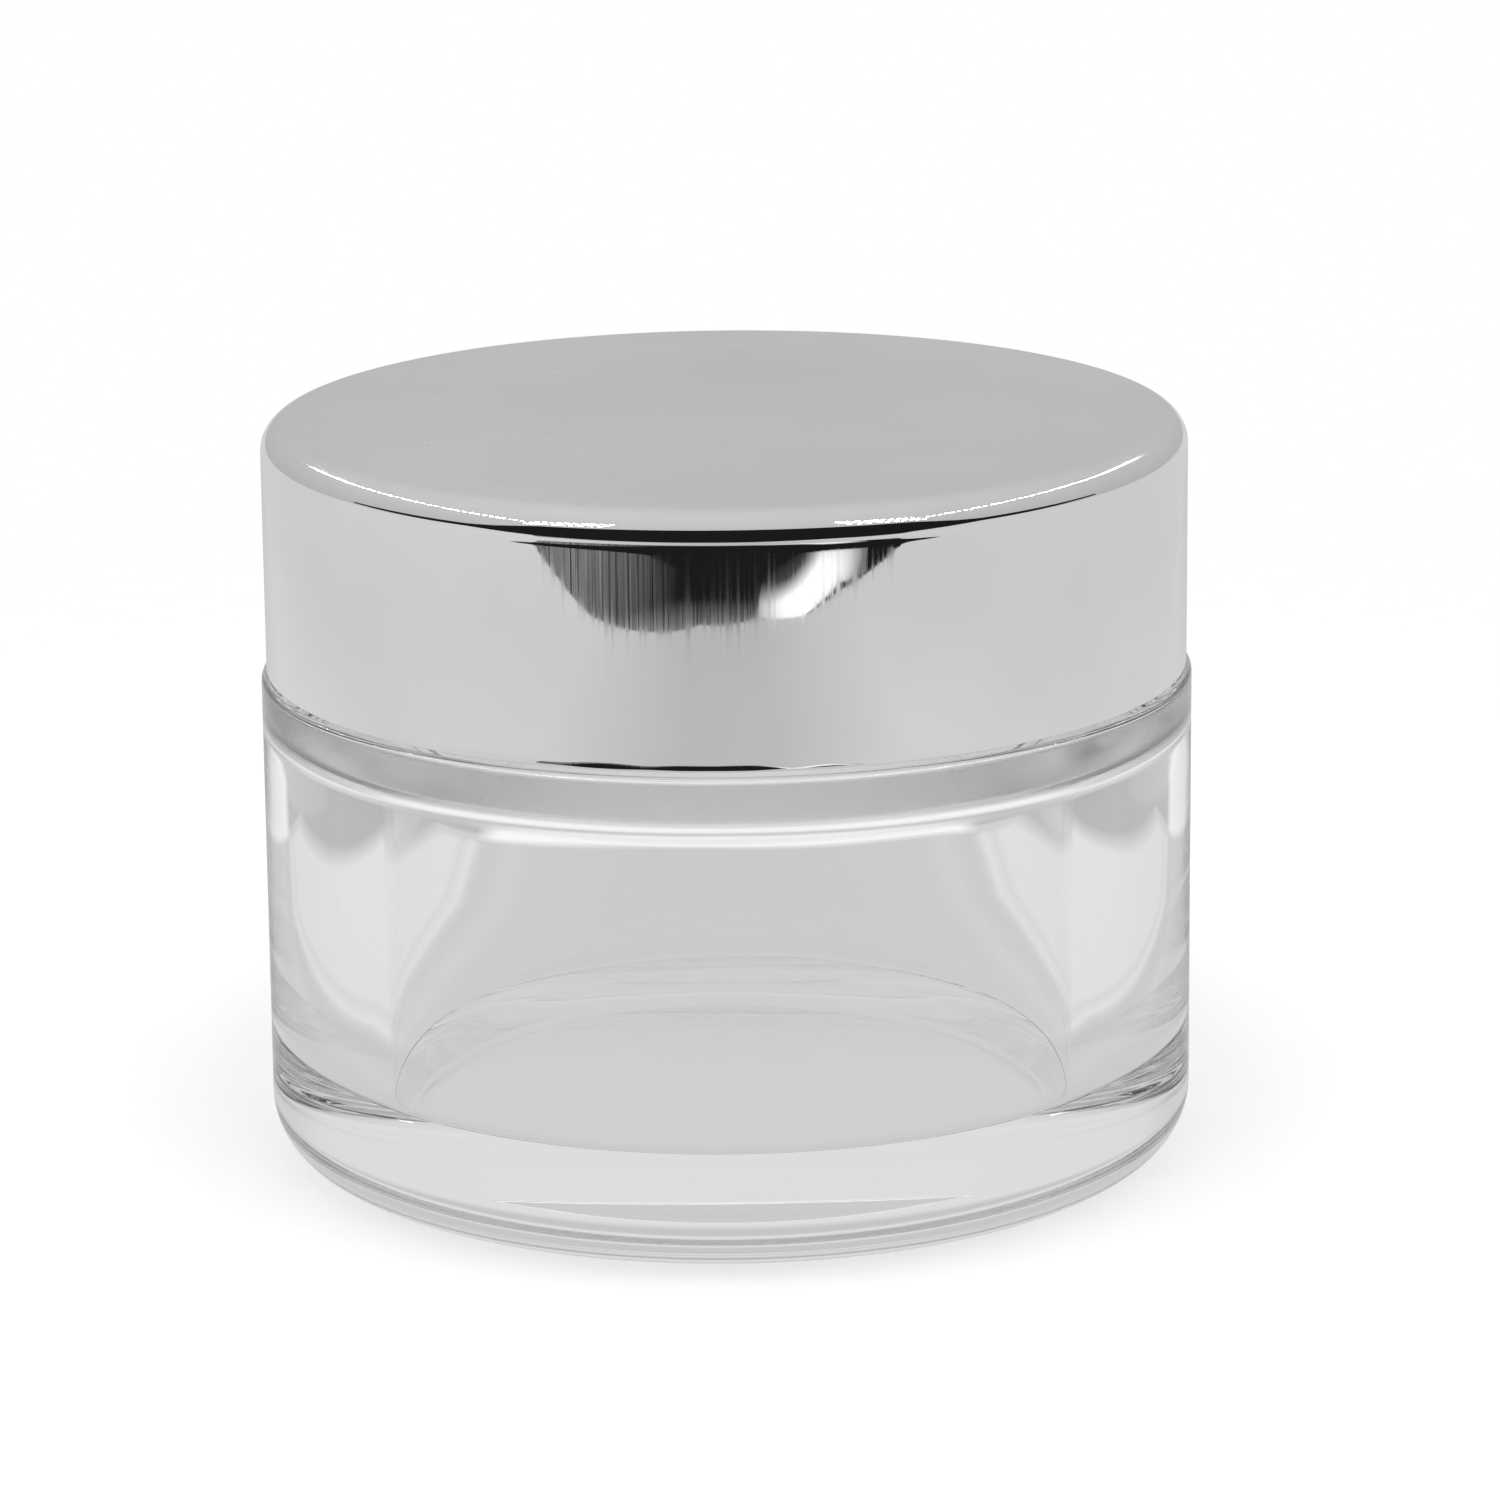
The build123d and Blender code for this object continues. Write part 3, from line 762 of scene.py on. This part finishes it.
def square(half, z):
    """The corners and the face of a level square about the jar's axis."""
    return [(-half, -half, z), (half, -half, z), (half, half, z), (-half, half, z)], [(0, 1, 2, 3)]


def open_dome(radius, foot_z, turns=48, rows=16):
    """The corners and the faces of a dome about the jar's axis."""
    corners = []
    for row in range(rows + 1):
        lift = pi / 2 * row / rows
        for k in range(turns):
            angle = 2 * pi * k / turns
            across, up = radius * cos(lift), radius * sin(lift)
            corners.append((across * cos(angle), across * sin(angle), foot_z + up))
    faces = []
    for row in range(rows):
        for k in range(turns):
            n = (k + 1) % turns
            faces.append((row * turns + k, row * turns + n, (row + 1) * turns + n, (row + 1) * turns + k))
    return corners, faces


def paper_floor(name, z, albedo, glow, far_glow):
    """A wide floor of pale paper, with a slight grain, that turns to an even glow away from the jar."""
    floor_piece = mesh_piece(name, *square(STAGE_HALF, z), smooth=False)
    paint = Paint(name, (albedo, albedo, albedo), 0.8)
    paint.set("Specular IOR Level", 0.0)
    far = paint.ramp(paint.distance(), 0.10, 0.22)
    paint.drive("Base Color", paint.blend(far, (albedo, albedo, albedo), (0.0, 0.0, 0.0)))
    paint.set("Emission Color", (1.0, 1.0, 1.0, 1.0))
    grain = paint.ramp(paint.noise(300, 4.0), 0.3, 0.7, -0.006, 0.006)
    paint.drive("Emission Strength", paint.math("ADD", paint.ramp(far, 0.0, 1.0, glow, far_glow), grain))
    paint.material.cycles.emission_sampling = "NONE"
    floor_piece.data.materials.append(paint.material)
    return floor_piece


def shadow_shade(paint):
    """The brightness painted on the floor behind the glass.

    It is a dark trapezoid in place of the jar's shadow, light and dark lines along its edges, a white
    strip beyond it and two dim sides.
    """
    across = paint.math("ABSOLUTE", paint.along("X"), 0.0)
    back = paint.along("Y")
    off = paint.math("SUBTRACT", across, paint.ramp(back, 8 * MM, 57 * MM, 56 * MM, 38 * MM))
    total = paint.ramp(off, -3 * MM, 2 * MM, SHADOW_GLOW, LIT_GLOW)
    edge_lines = ((0.0, 1.6 * MM, 0.07), (3.0 * MM, 2.0 * MM, -0.07), (-9.0 * MM, 4.0 * MM, 0.04))
    for centre, half, lift in edge_lines:
        gap = paint.math("ABSOLUTE", paint.math("SUBTRACT", off, centre), 0.0)
        total = paint.math("ADD", total, paint.ramp(gap, 0.0, half, lift, 0.0))
    beyond = paint.ramp(back, 72 * MM, 77 * MM, 0.0, 1.0)
    total = paint.math("MAXIMUM", total, beyond)
    out = paint.math("ADD", across, back)
    diagonal = paint.ramp(out, 122 * MM, 130 * MM)
    corner = paint.math("MULTIPLY", paint.ramp(back, 74 * MM, 78 * MM), paint.ramp(across, 33 * MM, 38 * MM))
    fading = paint.ramp(out, 165 * MM, 200 * MM, 1.0, 0.0)
    dim = paint.math("MULTIPLY", paint.math("MAXIMUM", diagonal, corner), fading)
    total = paint.toward(total, SIDE_GLOW, dim)
    grain = paint.ramp(paint.noise(300, 4.0), 0.3, 0.7, -0.006, 0.006)
    return paint.math("ADD", total, grain)


def make_floor():
    """The plain floor that the camera sees, and the painted one that is seen only through the glass."""
    only_seen_by(paper_floor("studio_floor", -0.05 * MM, 0.42, 0.64, 1.0), "camera", "diffuse")
    painted = square(STAGE_HALF, -0.06 * MM)
    seen_through = stage_card("floor_through_glass", *painted, LIT_GLOW, shadow_shade)
    only_seen_by(seen_through, "transmission")


def make_light():
    """A white room lit evenly, with one small soft lamp above the jar that shades only dull surfaces."""
    world = bpy.data.worlds.new("studio")
    bpy.context.scene.world = world
    world.use_nodes = True
    background = next(n for n in world.node_tree.nodes if n.type == "BACKGROUND")
    background.inputs["Color"].default_value = (1.0, 1.0, 1.0, 1.0)
    background.inputs["Strength"].default_value = 0.78
    world.cycles.sampling_method = "NONE"
    data = bpy.data.lights.new("front_lamp", "AREA")
    data.shape, data.size, data.size_y, data.energy = "RECTANGLE", 0.05, 0.02, 0.12
    lamp = bpy.data.objects.new("front_lamp", data)
    bpy.context.scene.collection.objects.link(lamp)
    lamp.location = (0, -0.0225, 0.125)
    lamp.rotation_mode = "QUATERNION"
    lamp.rotation_quaternion = (Vector((0, 0, 0.0)) - lamp.location).to_track_quat("-Z", "Y")
    only_seen_by(lamp, "diffuse")


def off_centre(paint, x, y, half_x, half_y):
    """0 at a point of a card, in mm, and 1 on an ellipse of those half widths about it."""
    across = paint.math("DIVIDE", paint.math("SUBTRACT", paint.along("X"), x * MM), half_x * MM)
    deep = paint.math("DIVIDE", paint.math("SUBTRACT", paint.along("Y"), y * MM), half_y * MM)
    return paint.math("ADD", paint.math("MULTIPLY", across, across), paint.math("MULTIPLY", deep, deep))


def wall_shade(paint):
    return paint.ramp(paint.height_above(), 0.0, 1.5, 0.5, 0.66)


def floor_shade(paint):
    side = paint.ramp(paint.math("ABSOLUTE", paint.along("X"), 0.0), 0.03, 0.11, 0.0, 0.15)
    near = paint.ramp(paint.distance(), 0.10, 0.2, 0.07, 0.0)
    return paint.math("ADD", paint.math("ADD", side, near), 0.53)


def card_shade(paint):
    """A bright spot that falls off outwards, with a dark dip at one corner."""
    edge = paint.ramp(off_centre(paint, 72, -206, 50, 20), 0.2, 1.1, 1.2, 0.2)
    dip = paint.ramp(off_centre(paint, 50, -224, 38, 14), 0.3, 1.2, 0.06, 1.0)
    return paint.math("MULTIPLY", edge, dip)


def end_shade(paint):
    """Dark, with streaks that run away from the jar, stronger near it and to the left."""
    near = paint.ramp(paint.distance(), 0.205, 0.217, 0.17, 0.0)
    left = paint.ramp(paint.along("X"), -0.12, -0.04, 0.17, 0.0)
    streaks = paint.ramp(paint.noise(80, 3.0, 0.6, paint.bearing()), 0.4, 0.6, 0.15, 1.8)
    return paint.math("ADD", paint.math("MULTIPLY", paint.math("MAXIMUM", near, left), streaks), DARK)


def mirrored_card(name, corners, faces, strength, shade=None):
    """A stage card that only the metal shows."""
    only_seen_by(stage_card(name, corners, faces, strength, shade), "glossy")


def level_card(name, outline, z, strength, shade):
    """A mirrored card lying level, with an outline of (x, y) points in mm."""
    corners = [(x * MM, y * MM, z) for x, y in outline]
    mirrored_card(name, corners, [tuple(range(len(corners)))], strength, shade)


def make_tent():
    """What the metal mirrors: a grey-white tent, its floor, its dark front opening and a bright card."""
    mirrored_card("tent_wall", *open_dome(1.5, -0.01), 0.6, wall_shade)
    mirrored_card("tent_floor", *square(STAGE_HALF, -0.1 * MM), 0.6, floor_shade)
    near_edge = [(-161, -171), (-106, -180), (-63, -194), (-21, -206),
                 (24, -208), (62, -200), (95, -197), (152, -181)]
    far_edge = [(320, -300), (320, -900), (-320, -900), (-320, -300)]
    level_card("front_floor_end", near_edge + far_edge, 0.5 * MM, DARK, end_shade)
    bright = [(25, -206), (30, -218), (46, -223), (75, -225.5), (103, -225.5),
              (131, -205), (118, -189), (95, -198), (62, -198)]
    level_card("front_card", bright, 1.0 * MM, 0.98, card_shade)
    right = [(0.21, 0.0), (0.44, 0.03), (0.44, 0.105), (0.335, 0.125), (0.231, 0.183)]
    corners = [(x, FRONT_Y, z) for x, z in right + [(-x, z) for x, z in right[::-1]]]
    faces = [tuple(range(len(corners)))]
    for side in (-1, 1):
        faces.append(tuple(range(len(corners), len(corners) + 4)))
        corners += [(side * 0.44, FRONT_Y, 0.03), (side * 0.6, 0.1, 0.06)]
        corners += [(side * 0.6, 0.1, 0.09), (side * 0.44, FRONT_Y, 0.105)]
    mirrored_card("front_opening", corners, faces, DARK)


def make_lamps():
    """Small lamps that glint in the metal and the glass: three short rows and a long one on each side."""
    places = []
    for side in (-1, 1):
        for row in range(3):
            height = 0.165 + 0.025 * row
            places += [(side * (0.09 + 0.0095 * k), -0.15, height) for k in range(10)]
        places += [(side * 0.185, -0.14 + 0.0095 * k, 0.2) for k in range(40)]
    corners, faces = [], []
    half = LAMP_HALF
    for place in places:
        facing = (Vector((0, 0, 0.04)) - Vector(place)).to_track_quat("-Z", "Y")
        start = len(corners)
        corners += [tuple(Vector(place) + facing @ Vector(c)) for c in
                    ((-half, -half, 0), (half, -half, 0), (half, half, 0), (-half, half, 0))]
        faces.append((start, start + 1, start + 2, start + 3))
    only_seen_by(stage_card("small_lamps", corners, faces, 40.0), "glossy", "transmission")


def make_glass_sky():
    """What the glass shows above the floor: a pale sky, painted dimmer at the horizon and the sides."""
    radius = 1.4

    def sky_shade(paint):
        rising = paint.ramp(paint.height_above(), 0.225 * radius, 0.275 * radius, HORIZON_GLOW, SKY_GLOW)
        beside = paint.ramp(paint.math("ABSOLUTE", paint.along("X"), 0.0), 0.75 * radius, 0.88 * radius)
        low = paint.ramp(paint.height_above(), 0.35 * radius, 0.5 * radius, 1.0, 0.0)
        return paint.toward(rising, SIDE_SKY_GLOW, paint.math("MULTIPLY", beside, low))

    only_seen_by(stage_card("glass_sky", *open_dome(radius, -0.01), SKY_GLOW, sky_shade), "transmission")


def make_well_lamp(lit):
    """A small soft lamp in the well that lifts the light on the plastics around it, and on nothing else."""
    data = bpy.data.lights.new("well_lamp", "POINT")
    data.energy, data.shadow_soft_size = 0.011, 6 * MM
    lamp = bpy.data.objects.new("well_lamp", data)
    bpy.context.scene.collection.objects.link(lamp)
    lamp.location = (0, 0, 22 * MM)
    only_seen_by(lamp, "diffuse")
    receivers = bpy.data.collections.new("lit_by_well_lamp")
    for piece in lit:
        receivers.objects.link(piece)
    lamp.light_linking.receiver_collection = receivers


def make_backdrop():
    """A clean white background beyond the floor, that only the camera sees."""
    only_seen_by(stage_card("backdrop", *open_dome(2.8, -0.01), 1.0), "camera")


def render_look():
    scene = bpy.context.scene
    scene.view_settings.view_transform = "Standard"
    scene.view_settings.look = "None"
    scene.cycles.max_bounces = 24
    scene.cycles.transmission_bounces = 24
    scene.cycles.glossy_bounces = 12
    scene.cycles.diffuse_bounces = 8
    scene.cycles.sample_clamp_indirect = 6.0
    scene.cycles.blur_glossy = 0.3
    scene.cycles.use_denoising = True


# ======== The scene ========

make_camera()
make_floor()
make_light()
make_tent()
make_lamps()
make_glass_sky()
make_backdrop()
render_look()

PIECES = (
    (glass_jar, "jar", "glass_jar", "clear_glass", clear_glass),
    (cap_shell, "cap", "cap_shell", "aluminium_shell", aluminium),
    (inner_cap, "cap", "inner_cap", "white_plastic", white_plastic),
    (cap_liner, "liner", "cap_liner", "liner_foam", liner_foam),
    (sealing_disc, "disc", "sealing_disc", "disc_plastic", disc_plastic),
    (glue_dots, "cap", "glue_dots", "glue", glue),
)
made = {}
for make, body, node, slot_name, finish_of in PIECES:
    piece = make()
    piece.data.materials.clear()
    piece.data.materials.append(finish_of())
    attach(piece, body)
    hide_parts(node)
    made[node] = piece
made["glass_jar"].visible_shadow = False
make_well_lamp([made["inner_cap"], made["sealing_disc"], made["cap_liner"]])
